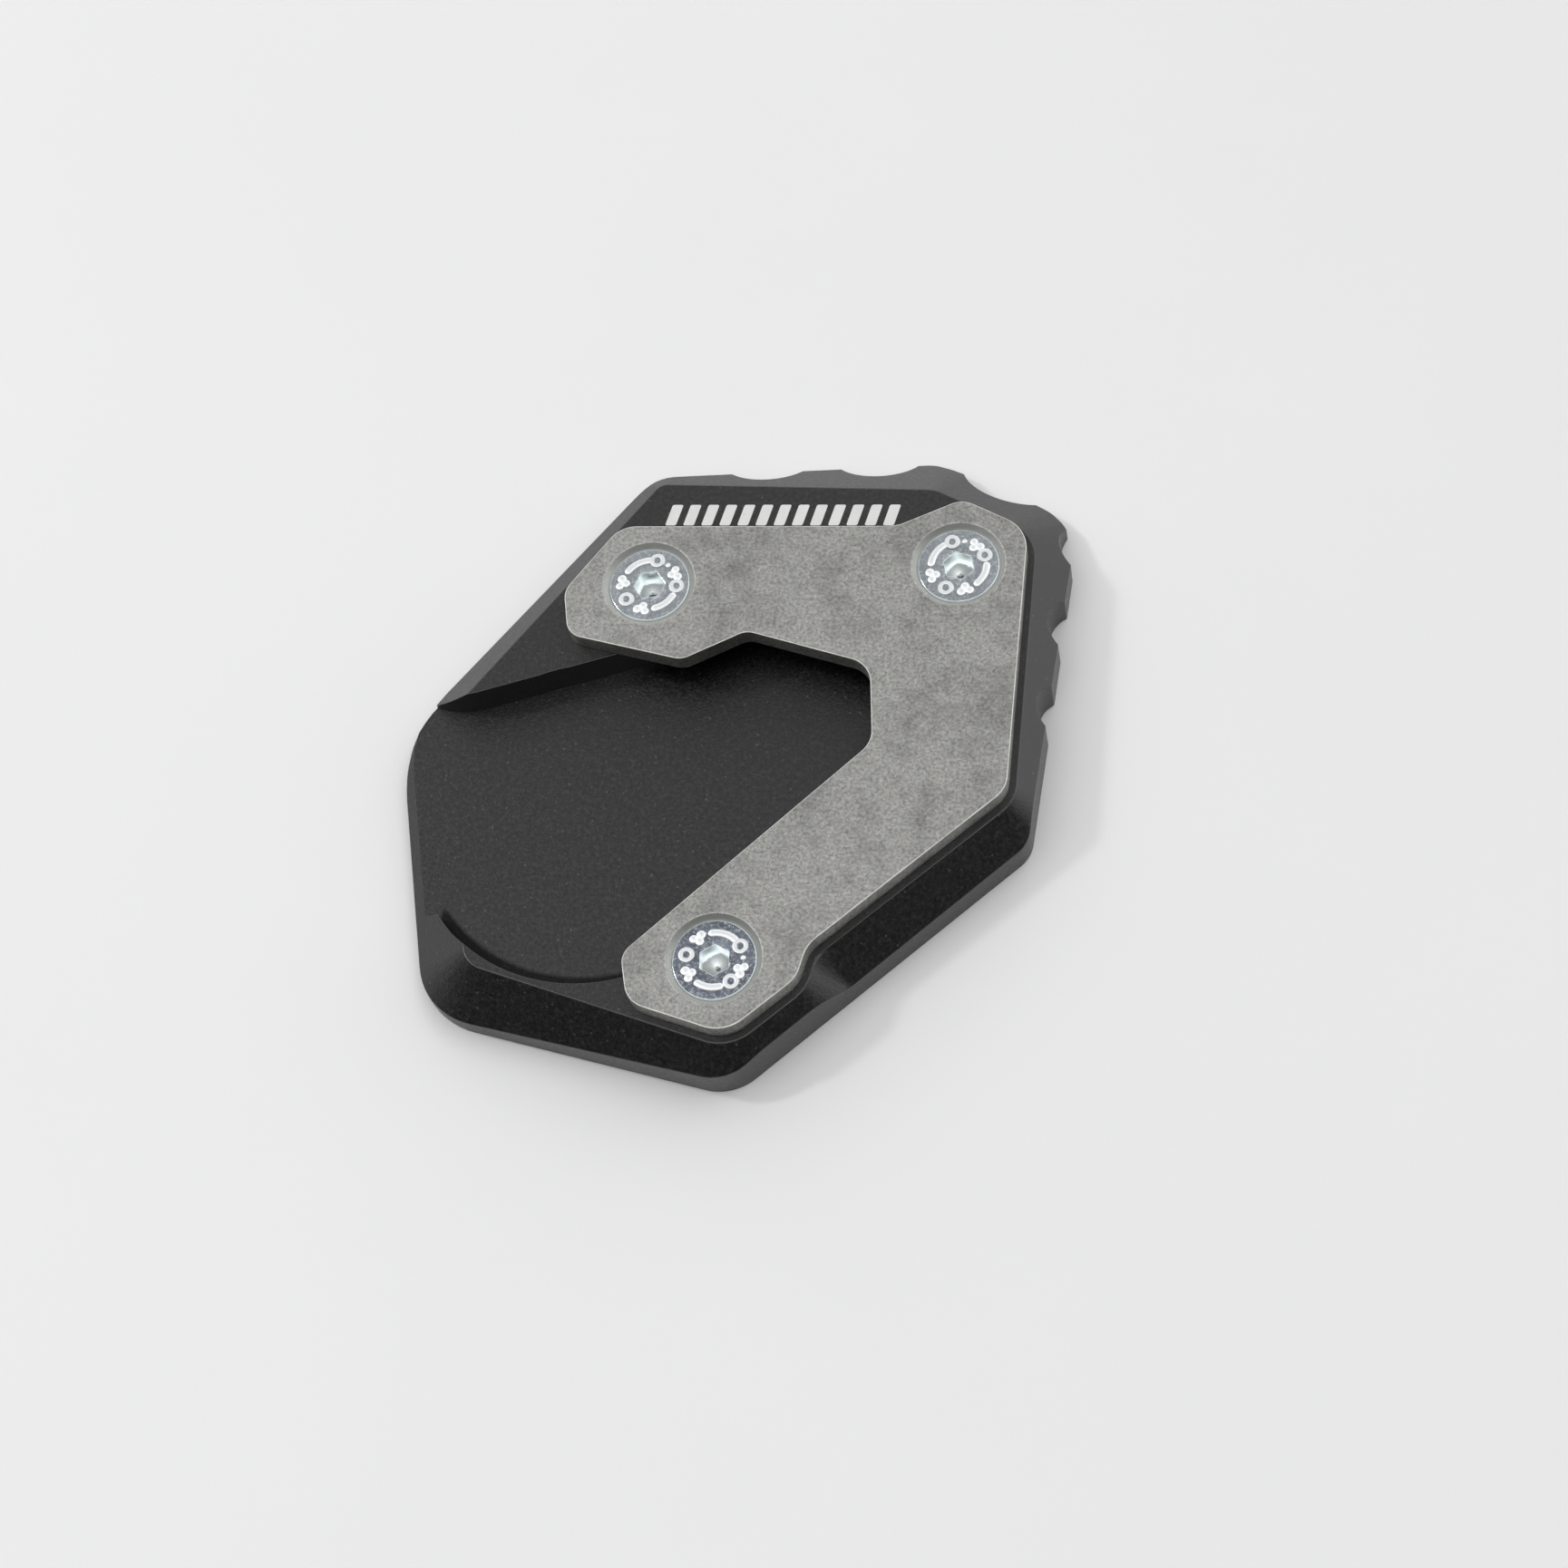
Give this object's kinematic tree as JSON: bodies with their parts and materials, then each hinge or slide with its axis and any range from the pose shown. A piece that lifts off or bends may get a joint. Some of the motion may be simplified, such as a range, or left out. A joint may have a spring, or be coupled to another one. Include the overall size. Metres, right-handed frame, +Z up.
{
  "type": "motorcycle side stand foot enlarger",
  "caption": "Flat faceted base plate with a foot pocket open at one side and scalloped edges, and a hooked clamp plate held on it by countersunk socket screws.",
  "frame": {"origin": "middle of the bounding box, on the underside of the base plate", "axes": "+Z up, out of the ground; the foot pocket opens towards -X; +Y towards the scalloped top edge"},
  "size_m": [0.0937, 0.0992, 0.012],
  "materials": {
    "base_plate": "matt black anodised aluminium with a fine blasted grain",
    "clamp_plate": "tumbled stainless steel with a fine mottled grain",
    "screws": "bright zinc-plated steel"
  },
  "bodies": {
    "root": {"base_plate": "base_plate", "clamp_plate": "clamp_plate", "screw_left": "screws", "screw_right": "screws", "screw_lower": "screws"}
  },
  "joints": []
}
